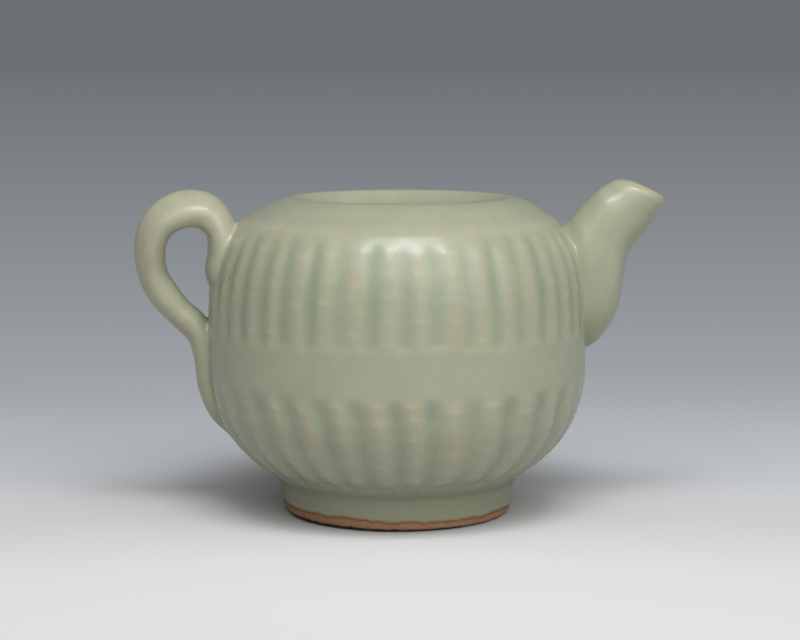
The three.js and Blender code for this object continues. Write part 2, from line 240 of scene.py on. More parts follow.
def rib_place(angle, count, front):
    """The place of each angle in a tier of ribs: a whole number in every groove, counted from the
    first groove of the front, and evenly in between."""
    front = np.radians(front)
    gap = (front[0] + 2 * np.pi - front[-1]) / (count - len(front) + 1)
    back = front[-1] + gap * np.arange(1, count - len(front) + 2)
    grooves = np.concatenate([front, back])
    turn = (angle + np.pi / 2 - front[0]) % (2 * np.pi)
    return np.interp(turn, grooves - front[0], np.arange(count + 1))


def rib_grooves(place, count, seed):
    """How deep each point lies in a groove between two ribs, 0 on the crest and 1 at the bottom: an
    S-curve of the distance to the nearest groove, which has a width and a depth of its own."""
    width, depth = np.random.default_rng(seed).uniform(-1, 1, (2, count))
    nearest = np.round(place)
    k = nearest.astype(int) % count
    away = 2 * np.abs(place - nearest)
    reach = GROOVE_SHARE + GROOVE_SHARE_SPREAD * width[k]
    return (1 - ease(0, reach, away)) * (1 + GROOVE_DEPTH_SPREAD * depth[k])


def rib_chatter(place, height, count, seed):
    """Short level ridges across each rib, 0 to 1: three sines of the height with phases of the
    rib's own, kept where they peak together."""
    shuffle = np.random.default_rng(seed)
    k = np.floor(place).astype(int) % count
    total = 0
    for spacing in CHATTER_SPACINGS:
        phase = shuffle.uniform(0, 2 * np.pi, count)[k]
        total = total + np.sin(2 * np.pi * height / spacing + phase)
    return ease(-0.2, 2.6, total)


def wall_relief(angle, height):
    """How far the wall stands out from its outline, and how thick the glaze lies on it, 0 to 1. The
    grooves of a tier are cut to its depth and fade at its ends, and small bell-shaped forms are added
    to them. Glaze is thin on crests and pools in grooves, and painted shade darkens it at the tops of
    the lower grooves and in the undercut below the lower ribs."""
    below = height < SEAM_HEIGHT
    ragged = END_RAGGEDNESS * ripple(angle, (5, 11, 23, 37), 5)
    upper_place = rib_place(angle, UPPER_RIBS, UPPER_GROOVES)
    upper = rib_grooves(upper_place, UPPER_RIBS, 3)
    in_upper = ease(UPPER_RIB_LOW - 0.7 * MM, UPPER_RIB_LOW + 2.8 * MM, height + ragged)
    upper_top = ease(UPPER_RIB_HIGH + 0.5 * MM, UPPER_RIB_HIGH - 2.5 * MM, height)
    upper_deep = ease(UPPER_RIB_HIGH + 0.8 * MM, UPPER_RIB_HIGH - 7 * MM, height)

    slanted = angle - LOWER_SLANT * (LOWER_RIB_HIGH - height)
    lower_place = rib_place(slanted, LOWER_RIBS, LOWER_GROOVES)
    lower = rib_grooves(lower_place, LOWER_RIBS, 8)
    in_lower = ease(LOWER_RIB_HIGH + 1.2 * MM, LOWER_RIB_HIGH - 2 * MM, height + ragged / 2)
    lower_deep = ease(LOWER_RIB_HIGH + 1.4 * MM, LOWER_RIB_HIGH - 5.5 * MM, height + ragged / 2)
    rounded_end = LOWER_RIB_LOW + LOWER_END_REACH * lower**2 + ragged
    past_end = ease(rounded_end + 1.2 * MM, rounded_end - 0.8 * MM, height)
    lower_cut = np.maximum(lower * lower_deep, PAST_END_DEPTH * past_end)
    upper_cut = upper * in_upper * upper_deep
    cut = np.where(below, LOWER_DEPTH * lower_cut, UPPER_DEPTH * upper_cut)

    chatter = np.where(
        below,
        rib_chatter(lower_place, height, LOWER_RIBS, 21) * (1 - lower) * in_lower,
        UPPER_CHATTER * rib_chatter(upper_place, height, UPPER_RIBS, 22) * (1 - upper) * in_upper,
    )
    chatter = chatter * (1 - past_end) * ease(EDGE_HEIGHT, EDGE_HEIGHT - 5 * MM, height)
    ridge = bump(EDGE_HEIGHT + 0.4 * MM, 1.4 * MM, height)
    hollow = bump(EDGE_HEIGHT + 2.4 * MM, 1.1 * MM, height)
    rib_foot = bump(UPPER_RIB_LOW + 0.5 * MM, 0.9 * MM, height) * (1 - upper)
    rib_head = bump(LOWER_RIB_HIGH - 1.6 * MM, 1.1 * MM, height) * (1 - lower)
    # Painted shade at the top of each lower groove, under the step where it starts
    groove_top_shade = bump(LOWER_RIB_HIGH - 0.3 * MM, 0.7 * MM, height + ragged / 2) * lower
    stand = CHATTER_RELIEF * chatter + RIDGE_RELIEF * ridge + HOLLOW_RELIEF * hollow
    stand = stand + RIB_END_RELIEF * (rib_foot + rib_head) + WALL_WOBBLE * ripple(angle, (2, 3, 5), 4)
    stand = stand - cut - BELLY_EASE

    tier = np.where(below, in_lower * (1 - past_end), in_upper * upper_top)
    forms = {
        "groove": np.where(below, lower, upper) * tier,
        "tier": tier,
        "chatter": chatter,
        "ridge": ridge,
        "hollow": hollow,
        "rib_foot": rib_foot,
        "rib_head": rib_head,
        "groove_top_shade": groove_top_shade,
        "past_end": past_end * below,
    }
    glaze = PLAIN_GLAZE + sum(GLAZE_ADDED[form] * share for form, share in forms.items())
    return stand, np.clip(glaze, 0, 1)


def rim_shift(height):
    """How far the mouth is carried towards the spout, growing over the shoulder."""
    return RIM_SHIFT * ease(EDGE_HEIGHT - 2 * MM, RIM_HEIGHT, height)


def wall_gap(points):
    """How far points lie outside the finished wall: the radial distance, times the cosine of the
    wall's slope there."""
    x, y, z = points[..., 0] - rim_shift(points[..., 2]), points[..., 1], points[..., 2]
    angle = np.arctan2(y, x)
    radius = np.interp(z, ROUND_HEIGHTS, OUTER_PATH[:, 0])
    stand, _ = wall_relief(angle, z)
    nearby = 0.5 * MM
    above = np.interp(z + nearby, ROUND_HEIGHTS, OUTER_PATH[:, 0])
    below = np.interp(z - nearby, ROUND_HEIGHTS, OUTER_PATH[:, 0])
    slope = (above - below) / (2 * nearby)
    return (np.hypot(x, y) - radius - stand) / np.sqrt(1 + slope**2)


# Meshes from grids


def normals_of(grid, wrap_rows=False):
    """Unit normals of a grid whose columns go round: the cross product of the steps to its
    neighbours."""
    across = np.roll(grid, -1, 1) - np.roll(grid, 1, 1)
    if wrap_rows:
        down = np.roll(grid, -1, 0) - np.roll(grid, 1, 0)
    else:
        down = np.gradient(grid, axis=0)
    normal = np.cross(across, down)
    return normal / np.maximum(np.linalg.norm(normal, axis=-1, keepdims=True), 1e-12)


def surface(name, grid, wrap_rows=False, **marks):
    """A closed mesh from a grid of points (rows, columns, 3) whose columns go round. Rows either go
    round too, or end in a point at the middle of the first and of the last row. Its faces are
    turned where the volume within them comes out below zero. Each mark is a value for every point
    of the grid, kept as an attribute."""
    rows, columns = grid.shape[:2]
    index = np.arange(rows * columns).reshape(rows, columns)
    upper = index if wrap_rows else index[:-1]
    lower = np.roll(index, -1, 0) if wrap_rows else index[1:]
    corners = [upper, lower, np.roll(lower, -1, 1), np.roll(upper, -1, 1)]
    faces = np.stack(corners, -1).reshape(-1, 4).tolist()
    points = grid.reshape(-1, 3)
    if not wrap_rows:
        points = np.concatenate([points, grid[:1].mean(1), grid[-1:].mean(1)])
        first, last = rows * columns, rows * columns + 1
        around = np.roll(index, -1, 1)
        start = np.stack([np.full(columns, first), index[0], around[0]], -1)
        finish = np.stack([np.full(columns, last), around[-1], index[-1]], -1)
        faces += start.tolist() + finish.tolist()
    quads = np.array(faces[: (rows if wrap_rows else rows - 1) * columns])
    a, b, c, d = (points[quads[:, i]] for i in range(4))
    six_volumes = np.einsum("ij,ij->i", a, np.cross(b, c) + np.cross(c, d)).sum()
    if six_volumes < 0:
        faces = [face[::-1] for face in faces]
    mesh = bpy.data.meshes.new(name)
    mesh.from_pydata(points.tolist(), [], faces)
    mesh.polygons.foreach_set("use_smooth", [True] * len(faces))
    for mark, values in marks.items():
        values = np.broadcast_to(values, (rows, columns))
        flat = values.reshape(-1)
        if not wrap_rows:
            flat = np.concatenate([flat, [values[0].mean(), values[-1].mean()]])
        kept = mesh.attributes.new(mark, "FLOAT", "POINT")
        kept.data.foreach_set("value", flat.astype(np.float32))
    mesh.validate()
    mesh.update()
    piece = bpy.data.objects.new(name, mesh)
    bpy.context.scene.collection.objects.link(piece)
    return piece


def round_the_axis(radius, height, angle):
    """Points at a radius and a height, at every angle round the body's axis."""
    height = np.broadcast_to(height, np.broadcast_shapes(radius.shape, angle.shape))
    return np.stack([radius * np.cos(angle), radius * np.sin(angle), height], -1)


def smooth_union(gap, off, blend):
    """Below zero inside the rounded union of two bodies, gap and off being the distances from
    them: the smaller one, less a quarter of blend times the square of how near they are."""
    near = np.clip(blend - np.abs(gap - off), 0, None) / blend
    return np.minimum(gap, off) - near**2 * blend / 4


FILLET_SUNK = 0.12 * MM  # the fillet's edge runs this deep under the wall, so that it shows no gap
FILLET_HALVINGS = 16


def filleted(grid, normal, blend):
    """Pushes a tube's points out along its normals to where the tube and the wall melt into each
    other, and gives the push as well. The push is found by halving; a point that finds no surface
    is pushed by the whole blend, which is one length or a length for each point."""
    low = np.zeros(grid.shape[:2])
    high = np.full(grid.shape[:2], blend)
    for _ in range(FILLET_HALVINGS):
        middle = (low + high) / 2
        gap = wall_gap(grid + normal * middle[..., None]) + FILLET_SUNK
        clear = smooth_union(gap, middle, blend) >= 0
        high = np.where(clear, middle, high)
        low = np.where(clear, low, middle)
    return grid + normal * high[..., None], high


# The pieces

FIRST_STEP = 0.05 * MM
LAP = 0.3 * MM  # how far two pieces reach past their joint, out of sight
LAP_INSET = 0.05 * MM
AXIS_RING = 0.5 * MM  # the radius of the smallest ring round the axis


def from_the_start(path, count):
    """The path with count even steps, and one more point just after its start, so that the smooth
    shading turns sharply at the piece's edge."""
    even = resample(path, count)
    near = even[:1] + (even[1:2] - even[:1]) * FIRST_STEP / np.linalg.norm(even[1] - even[0])
    return np.concatenate([even[:1], near, even[1:]])


DISH_POINTS = 30
DISH_POWER = 1.1  # above 1 the recess falls slowly at the rim and faster further in
RIM_ROUNDING = 0.7 * MM
INSIDE_POINTS = 60
INSIDE_ROUNDING = 1.5 * MM
# Painted shade at the bottom of the recess, where it meets the seat
RECESS_CORNER_SHADE = 0.2


def recess_outline():
    """From the rim down the dished recess to just under the seat's edge: the height falls with a
    power of the way in."""
    fall = np.linspace(0, 1, DISH_POINTS)[:, None]
    whole = [RECESS_RADIUS - RIM_RADIUS, SEAT_HEIGHT - RIM_HEIGHT]
    dish = [RIM_RADIUS, RIM_HEIGHT] + whole * np.concatenate([fall, fall**DISH_POWER], -1)
    tuck = dish[-1] + [[-0.9 * MM, -0.5 * MM]]
    recess = soften(np.concatenate([OUTER_PATH[-40:-1], dish, tuck]), RIM_ROUNDING)
    return recess[np.linalg.norm(recess - OUTER_PATH[-1], axis=1).argmin() :]


def inside_outline(start):
    """From the recess out under the shoulder, down the inside at the wall's thickness and in over
    the floor."""
    under = [[SEAT_OUTER_RADIUS, SEAT_HEIGHT - 1.3 * MM], [EDGE_RADIUS - WALL, EDGE_HEIGHT - 0.8 * MM]]
    heights = np.linspace(EDGE_HEIGHT - 3 * MM, FLOOR_HEIGHT + 5 * MM, INSIDE_POINTS)
    inner = np.stack([wall_outline(heights) - WALL, heights], -1)
    floor = [[FOOT_TOP_RADIUS - WALL, FLOOR_HEIGHT], [AXIS_RING, FLOOR_HEIGHT]]
    return soften(np.concatenate([start, under, inner, floor]), INSIDE_ROUNDING)


def glazed_body():
    """The wall turned round its axis: under the base, out and up the ribbed wall, over the shoulder
    and the rim, down the dished recess, under the shoulder, and down the inside to the floor."""
    joint = OUTER_PATH[0]
    under_joint = joint - [LAP_INSET, LAP]
    base = np.array([[AXIS_RING, under_joint[1]], under_joint, joint])
    wall = from_the_start(OUTER_PATH, int(length_of(OUTER_PATH) / BODY_ROW_SPACING))
    recess = recess_outline()
    inside = inside_outline(recess[-1:])
    recess_rows = int(length_of(recess) / BODY_ROW_SPACING)
    inside_rows = int(length_of(inside) / INSIDE_ROW_SPACING)
    path = np.concatenate(
        [base[:-1], wall, resample(recess, recess_rows)[1:], resample(inside, inside_rows)[1:]]
    )
    row = np.arange(len(path))[:, None] - len(base) + 1
    on_wall = (row >= 0) & (row < len(wall))
    radius, height = path[:, :1], path[:, 1:]
    angle = np.linspace(0, 2 * np.pi, BODY_COLUMNS, endpoint=False)[None]
    stand, glaze = wall_relief(angle, height)
    fade = ease(FOOT_HEIGHT, FOOT_HEIGHT + 3.5 * MM, height)
    fade = fade * ease(RIM_RADIUS, RIM_RADIUS + 4 * MM, radius)
    radius = radius + np.where(on_wall, stand * fade, 0)
    # plain glaze, with painted shade at the bottom of the recess
    plain_glaze_and_shade = PLAIN_GLAZE + RECESS_CORNER_SHADE * bump(SEAT_HEIGHT, 1.2 * MM, height)
    glaze = np.where(on_wall, glaze, plain_glaze_and_shade)
    grid = round_the_axis(radius, height, angle)
    grid[..., 0] += rim_shift(grid[..., 2])
    return surface("glazed_body", grid, glaze=glaze, bare_edge=ALL_GLAZED)


FOOT_COLUMNS = 504
FOOT_WALL = 4.8 * MM
GLAZE_LINE = 3.1 * MM
GLAZE_TILT = 0.55 * MM  # the glaze stops this much higher on the handle's side
GLAZE_STEP = 0.22 * MM
GLAZE_ROLL = 0.08 * MM  # the bead that the glaze gathers in over its edge
GLAZE_LINE_WAVES = 0.22 * MM
GLAZE_LINE_RIPPLES = 0.12 * MM
INNER_LINE_WAVES = 0.7 * MM
WORN_EDGE = 0.25 * MM
WORN_UNEVEN = 0.15 * MM
WORN_TILT = 0.3 * MM  # the edge is worn this much more on the handle's side
FOOT_ROUNDING = 0.25 * MM
FOOT_POINTS = 110


def foot():
    """The foot ring: a closed outline turned round the axis, its edge on the table worn unevenly.
    The glaze stops at a wavy line above the table, where the surface steps in to the bare clay."""
    inner = FOOT_RADIUS - FOOT_WALL
    side = FOOT_PATH[::-1]
    side = side[side[:, 1] > 2.5 * MM]
    low = [
        [FOOT_RADIUS + 0.05 * MM, FOOT_BEVEL],
        [FOOT_RADIUS - 0.5 * MM, 0.4 * FOOT_BEVEL],
        [FOOT_RADIUS - 2 * FOOT_BEVEL, 0],
        [inner + FOOT_BEVEL, 0],
        [inner, FOOT_BEVEL],
        [inner - 0.3 * MM, FOOT_HEIGHT - 1 * MM],
        [inner - 1.5 * MM, FOOT_HEIGHT + 0.3 * MM],
    ]
    around = soften(np.concatenate([side[-20:], low]), FOOT_ROUNDING)
    outline = np.concatenate([side[:-20], around])
    path = from_the_start(outline, FOOT_POINTS)
    path[:, 1] = np.maximum(path[:, 1], 0)
    hidden = [[inner, FOOT_HEIGHT + LAP], path[0] + [-LAP_INSET, LAP]]
    path = np.concatenate([path, hidden])
    angle = np.linspace(0, 2 * np.pi, FOOT_COLUMNS, endpoint=False)[None]
    radius, height = path[:, :1], path[:, 1:]
    outer = radius > FOOT_RADIUS - FOOT_WALL / 2
    line = GLAZE_LINE - GLAZE_TILT * np.cos(angle)
    line = line + GLAZE_LINE_WAVES * ripple(angle, (3, 5, 8, 13, 22), 11)
    line = line + GLAZE_LINE_RIPPLES * ripple(angle, (31, 44, 59, 83), 12)
    inner_line = FOOT_HEIGHT - 2.2 * MM + INNER_LINE_WAVES * ripple(angle, (2, 5, 7), 13)
    over = height - np.where(outer, line, inner_line)
    roll = GLAZE_ROLL * bump(0.5 * MM, 0.4 * MM, over)
    inset = GLAZE_STEP * (1 - ease(-0.3 * MM, 0.15 * MM, over)) - roll
    worn = WORN_EDGE - WORN_TILT * np.cos(angle) + WORN_UNEVEN * ripple(angle, (4, 7, 19, 31, 53), 14)
    worn = worn * bump(0, 1 * MM, height)
    radius = radius - np.where(outer, inset + worn, -inset)
    grid = round_the_axis(radius, height, angle)
    # Painted shade: the glaze is darkened near the foot's top, under the overhanging wall
    painted_shade_under_wall = 0.2 * bump(FOOT_HEIGHT, 3.5 * MM, height)
    run_thin = 0.15 * bump(1.2 * MM, 1 * MM, over)
    glaze = PLAIN_GLAZE + painted_shade_under_wall - run_thin
    return surface("standing_foot", grid, wrap_rows=True, glaze=glaze, bare_edge=over / MM)


SEAT_COLUMNS = 256
SEAT_POINTS = 70
SEAT_ROUNDING = 0.35 * MM
SEAT_GLAZE = 0.2
MOUTH_RADIUS = 16.5 * MM
GLAZE_ON_SEAT = 4.1 * MM  # how far in from the recess's edge the glaze has run
GLAZE_ON_SEAT_WAVES = 0.8 * MM
SEAT_WAVES = 0.15 * MM


def lid_seat():
    """The ledge in the mouth: a flat ring with rounded edges, turned round the axis. It is bare
    beyond the wavy line that the recess's glaze has run to."""
    outline = np.array(
        [
            [SEAT_OUTER_RADIUS, SEAT_HEIGHT - 1.4 * MM],
            [RECESS_RADIUS + 0.6 * MM, SEAT_HEIGHT - 0.4 * MM],
            [RECESS_RADIUS - 0.3 * MM, SEAT_HEIGHT - 0.05 * MM],
            [MOUTH_RADIUS, SEAT_HEIGHT - 0.1 * MM],
            [MOUTH_RADIUS, SEAT_BOTTOM],
            [SEAT_OUTER_RADIUS - 1 * MM, SEAT_BOTTOM],
            [SEAT_OUTER_RADIUS, SEAT_HEIGHT - 1.4 * MM],
        ]
    )
    path = resample(soften(outline, SEAT_ROUNDING), SEAT_POINTS)[:-1]
    angle = np.linspace(0, 2 * np.pi, SEAT_COLUMNS, endpoint=False)[None]
    radius, height = path[:, :1], path[:, 1:]
    radius = radius + SEAT_WAVES * ripple(angle, (2, 3, 7), 31)
    line = RECESS_RADIUS - GLAZE_ON_SEAT + GLAZE_ON_SEAT_WAVES * ripple(angle, (3, 5, 8, 13), 32)
    over = radius - line
    grid = round_the_axis(radius, height, angle)
    grid[..., 0] += rim_shift(SEAT_HEIGHT)
    return surface("lid_seat", grid, wrap_rows=True, glaze=SEAT_GLAZE, bare_edge=over / MM)


SPOUT_ROOT_X = 43 * MM
SPOUT_ROOT_LOW = 43 * MM
SPOUT_ROOT_HIGH = 75.5 * MM
SPOUT_LIP_INSET = 12.8 * MM
SPOUT_TIP_DROP = 5.3 * MM
# The spout's upper and lower edges, from the root to the lip: how far out each place is between the
# root and the lip, and how far up
UPPER_OUT_SHARES = (0, 0.12, 0.26, 0.44, 0.66, 1)
UPPER_UP_SHARES = (0, 0.12, 0.3, 0.53, 0.78, 1)
LOWER_OUT_SHARES = (0, 0.28, 0.475, 0.57, 0.6, 0.655, 0.81, 1)
LOWER_UP_SHARES = (0, 0.02, 0.16, 0.33, 0.5, 0.66, 0.8, 1)
SPOUT_EDGE_ROUNDING = 1.2 * MM
SPOUT_WIDTH_SHARES = (1, 1, 0.95, 0.88, 0.8, 0.7)  # evenly along it, of the width at the root
SPOUT_ROOT_HALF_WIDTH = 10 * MM
SPOUT_WALL = 2.3 * MM
SPOUT_COLUMNS = 192
SPOUT_ROWS = 150
SPOUT_LAST_ROW = SPOUT_ROWS - 11  # the lip starts here
SPOUT_BLEND = 0.12 * MM
CROTCH_BLEND = 1.4 * MM  # added where glaze has filled the crotch over the root
CROTCH_HEIGHT = 70.4 * MM
CROTCH_REACH = 1.8 * MM
SPOUT_FLATNESS = 0.15  # how far the ovals lean towards rounded rectangles
LIP_ROWS = 22
LIP_WALL = 4.2 * MM
LIP_BULGE = 1.1
LIP_SWELL = 1.5 * MM  # how far the lip is drawn out at its tip
SWELLING_ROWS = 40
THICKENING_ROWS = 30

# How thick the glaze lies on the spout: it has run off the lip, off the ridge between the top and the
# front, where the lighter line is also a painted highlight, and off the top. Near the wall the spout
# is darkened by painted shade.
SPOUT_GLAZE = 0.57
CREASE_SHADE_ADDED = 0.08
LIP_GLAZE = 0.28
BORE_GLAZE = 0.6
LIP_EDGE_LOSS = 0.24
RIDGE_THIN_GLAZE_AND_HIGHLIGHT = 0.24
TOP_LOSS = 0.2
RIDGE_ANGLE = math.radians(240)
TOP_ANGLE = math.radians(200)


def rail(out_shares, up_shares, end, low, high):
    """One edge of the spout as a smooth curve in the plane y = 0, with evenly spread points."""
    out = SPOUT_ROOT_X + (end - SPOUT_ROOT_X) * np.array(out_shares)
    up = low + (high - low) * np.array(up_shares)
    curve = curve_through(np.stack([out, np.zeros_like(out), up], -1))
    return resample(soften(curve, SPOUT_EDGE_ROUNDING), SPOUT_ROWS)


def squared(angle, power):
    """The cosine and the sine of an angle, each raised to a power with its sign kept. A power
    below 1 makes a circle of them lean towards a square with rounded corners."""
    return [np.sign(f) * np.abs(f) ** power for f in (np.cos(angle), np.sin(angle))]


def spout():
    """The spout: ovals strung between its upper and its lower edge, whose ends give each oval's
    long axis; its other half axis narrows from the root to the lip, and halfway along they are
    squared a little. The surface goes out along the outside, over the lip in half an ellipse for
    each column, and back down the bore."""
    lip_top = SPOUT_TIP - SPOUT_LIP_INSET
    lip_tip_height = SPOUT_TOP - SPOUT_TIP_DROP
    upper = rail(UPPER_OUT_SHARES, UPPER_UP_SHARES, lip_top, SPOUT_ROOT_HIGH, SPOUT_TOP)
    lower = rail(LOWER_OUT_SHARES, LOWER_UP_SHARES, SPOUT_TIP, SPOUT_ROOT_LOW, lip_tip_height)
    shares = np.stack([np.arange(6), SPOUT_WIDTH_SHARES], -1)
    width = SPOUT_ROOT_HALF_WIDTH * resample(curve_through(shares), SPOUT_ROWS)[:, 1:]
    middle, span = (upper + lower) / 2, lower - upper
    half = np.linalg.norm(span, axis=1, keepdims=True) / 2
    out = span / (2 * half)
    angle = np.linspace(0, 2 * np.pi, SPOUT_COLUMNS, endpoint=False)
    row = np.arange(SPOUT_ROWS)[:, None]
    midway = ease(15, 45, row) * ease(SPOUT_ROWS - 20, SPOUT_ROWS - 50, row)
    along, beside = squared(angle, 1 - SPOUT_FLATNESS * midway)

    def ovals(inset):
        across = ((half - inset) * along)[..., None] * out[:, None]
        aside = ((width - inset) * beside)[..., None] * np.array([0, 1, 0])
        return middle[:, None] + across + aside

    last = SPOUT_LAST_ROW
    onward = np.gradient(middle, axis=0)
    onward /= np.linalg.norm(onward, axis=1, keepdims=True)
    towards_tip = (0.5 + 0.5 * np.cos(angle)) ** 0.6
    swell = LIP_SWELL * ease(last - SWELLING_ROWS, last, row) * towards_tip
    swell = swell[..., None] * onward[:, None]
    blend = SPOUT_BLEND + CROTCH_BLEND * bump(CROTCH_HEIGHT, CROTCH_REACH, ovals(0)[..., 2])
    skin, _ = filleted(ovals(0) + swell, outward(ovals(0), middle), blend)
    thickness = SPOUT_WALL + (LIP_WALL - SPOUT_WALL) * ease(last - THICKENING_ROWS, last, row)
    bore = ovals(thickness) + swell
    outer_edge, bore_edge = skin[last], bore[last]
    onward = outer_edge - skin[last - 3]
    onward = onward / np.linalg.norm(onward, axis=-1, keepdims=True)
    reach = (outer_edge - bore_edge) / 2
    rise = np.linalg.norm(reach, axis=-1, keepdims=True) * LIP_BULGE
    turn = np.linspace(0, np.pi, LIP_ROWS + 2)[1:-1, None, None]
    lip = (outer_edge + bore_edge) / 2 + reach * np.cos(turn) + onward * rise * np.sin(turn)
    skin, bore, row = skin[: last + 1], bore[last::-3], row[: last + 1]
    grid = np.concatenate([skin, lip, bore])

    top = bump(TOP_ANGLE, 0.5, angle) * ease(20, 40, row)
    ridge = bump(RIDGE_ANGLE, 0.25, angle) * ease(25, 50, row)
    # Painted shade near the root, darkest where the spout meets the wall
    crease_shade = ease(4.5 * MM, 0.3 * MM, wall_gap(skin)) * (1 - 0.6 * top)
    glaze = SPOUT_GLAZE + CREASE_SHADE_ADDED * crease_shade
    # the lighter line along the ridge is thin glaze and a painted highlight
    glaze = glaze - LIP_EDGE_LOSS * bump(last, 6, row) - RIDGE_THIN_GLAZE_AND_HIGHLIGHT * ridge - TOP_LOSS * top
    on_lip = np.full(lip.shape[:2], LIP_GLAZE)
    in_bore = np.full(bore.shape[:2], BORE_GLAZE)
    glaze = np.clip(np.concatenate([glaze, on_lip, in_bore]), 0, 1)
    return surface("upturned_spout", grid, wrap_rows=True, glaze=glaze, bare_edge=ALL_GLAZED)


def outward(grid, middle):
    """Unit normals of a tube, turned away from its middle line."""
    normal = normals_of(grid)
    side = np.einsum("ijk,ijk->ij", normal, grid - middle[:, None])
    return normal * np.sign(side)[..., None]


HANDLE_COLUMNS = 96
HANDLE_ROWS = 460
HANDLE_BLEND = 1.3 * MM
HANDLE_ROUNDING = 1.6 * MM
HANDLE_TURN = math.radians(30)  # at the top of the loop the roll leans towards the front
TURN_LENGTH = 10 * MM  # the whole turn counts as this length where the rows are spread
HANDLE_FLATNESS = 0.14  # how far its ovals lean towards rounded rectangles where they are turned

# How thick the glaze lies on the handle, and where it is darkened: more glaze and painted shade in the
# fillet's crease, painted shade on the side towards the wall, darker towards the tail, and more
# painted shade on the tail's side towards the wall
HANDLE_GLAZE = 0.2
FILLET_GLAZE_AND_SHADE_ADDED = 0.5
INNER_SIDE_SHADE_ADDED = 0.5
TAIL_DARKENING_ADDED = 0.24
TAIL_INNER_SHADE_ADDED = 0.5

# Along the handle from the upper root to the tail: x, y, z, thickness and width in millimetres, and
# how far the oval is turned, as a share of HANDLE_TURN. A scratch script fitted most of them to the
# handle's outline in the photo, and some were then changed by hand.
HANDLE_PLACES = (
    (-45.0, -10.0, 59.0, 4.8, 9.5, 0),
    (-46.1, -9.7, 62.9, 6.3, 11.6, 0),
    (-46.3, -9.4, 64.9, 7.25, 12.4, 0.05),
    (-45.2, -8.9, 69.3, 8.05, 12.3, 0.2),
    (-45.6, -8.3, 75.3, 8.0, 12.3, 0.45),
    (-49.2, -8.0, 79.8, 8.65, 12.7, 0.75),
    (-54.0, -8.35, 81.0, 7.7, 13.0, 0.95),
    (-58.55, -8.8, 79.65, 6.95, 12.5, 1),
    (-62.45, -8.7, 76.1, 7.0, 11.3, 0.9),
    (-64.35, -7.6, 70.4, 7.65, 10.4, 0.65),
    (-63.85, -6.0, 63.85, 7.8, 9.9, 0.4),
    (-61.1, -4.8, 58.15, 8.05, 9.7, 0.2),
    (-57.6, -4.0, 53.7, 7.45, 9.7, 0.08),
    (-54.0, -3.8, 50.5, 7.75, 9.8, 0),
    (-51.5, -3.55, 47.0, 7.25, 10.3, 0),
    (-50.4, -3.25, 41.3, 6.55, 10.8, 0),
    (-49.5, -3.0, 33.6, 6.15, 10.8, 0),
    (-46.75, -2.9, 26.4, 5.4, 10.15, 0),
    (-41.15, -2.9, 21.0, 4.3, 7.55, 0),
)


def handle():
    """The handle: ovals along a smooth curve through its places, melted into the wall at both
    roots. Each oval's width lies along the wall, turned towards the front on the loop, and two slow
    waves make the roll uneven."""
    places = np.array(HANDLE_PLACES) * [MM, MM, MM, MM, MM, TURN_LENGTH]
    line = resample(soften(curve_through(places), HANDLE_ROUNDING), HANDLE_ROWS)
    middle, thickness, width = line[:, :3], line[:, 3:4], line[:, 4:5]
    turned = line[:, 5:] / TURN_LENGTH
    tangent = np.gradient(middle, axis=0)
    tangent /= np.linalg.norm(tangent, axis=1, keepdims=True)
    along_wall = np.stack([middle[:, 1], -middle[:, 0], np.zeros(HANDLE_ROWS)], -1)
    away = np.cross(tangent, along_wall)
    away /= np.linalg.norm(away, axis=1, keepdims=True)
    side = np.cross(away, tangent)
    cosine, sine = np.cos(HANDLE_TURN * turned), np.sin(HANDLE_TURN * turned)
    away, side = away * cosine + side * sine, side * cosine - away * sine
    angle = np.linspace(0, 2 * np.pi, HANDLE_COLUMNS, endpoint=False)
    row = np.linspace(0, 1, HANDLE_ROWS)[:, None]
    uneven = 1 + 0.012 * np.sin(23 * row + 2 * angle) + 0.01 * np.sin(41 * row - angle + 1)
    along, beside = squared(angle, 1 - HANDLE_FLATNESS * turned)
    thick = thickness / 2 * along * uneven
    wide = width / 2 * beside * uneven
    grid = middle[:, None] + thick[..., None] * away[:, None] + wide[..., None] * side[:, None]
    grid, push = filleted(grid, outward(grid, middle), HANDLE_BLEND)
    inner = np.clip(np.cos(angle), 0, 1) ** 2
    tail = ease(0.6, 0.85, row)
    # painted shade in the fillet's crease and on the side towards the wall, and darker towards the
    # tail
    glaze = HANDLE_GLAZE + FILLET_GLAZE_AND_SHADE_ADDED * push / HANDLE_BLEND + INNER_SIDE_SHADE_ADDED * inner
    glaze = glaze + (TAIL_DARKENING_ADDED + TAIL_INNER_SHADE_ADDED * inner) * tail
    return surface("rolled_handle", grid, glaze=np.clip(glaze, 0, 1), bare_edge=ALL_GLAZED)


# Materials


def colour(red, green, blue):
    """A colour given as it looks on screen, 0 to 255, as the linear values that a shader takes."""
    c = np.array([red, green, blue]) / 255
    linear = np.where(c <= 0.04045, c / 12.92, ((c + 0.055) / 1.055) ** 2.4)
    return (*linear.tolist(), 1)


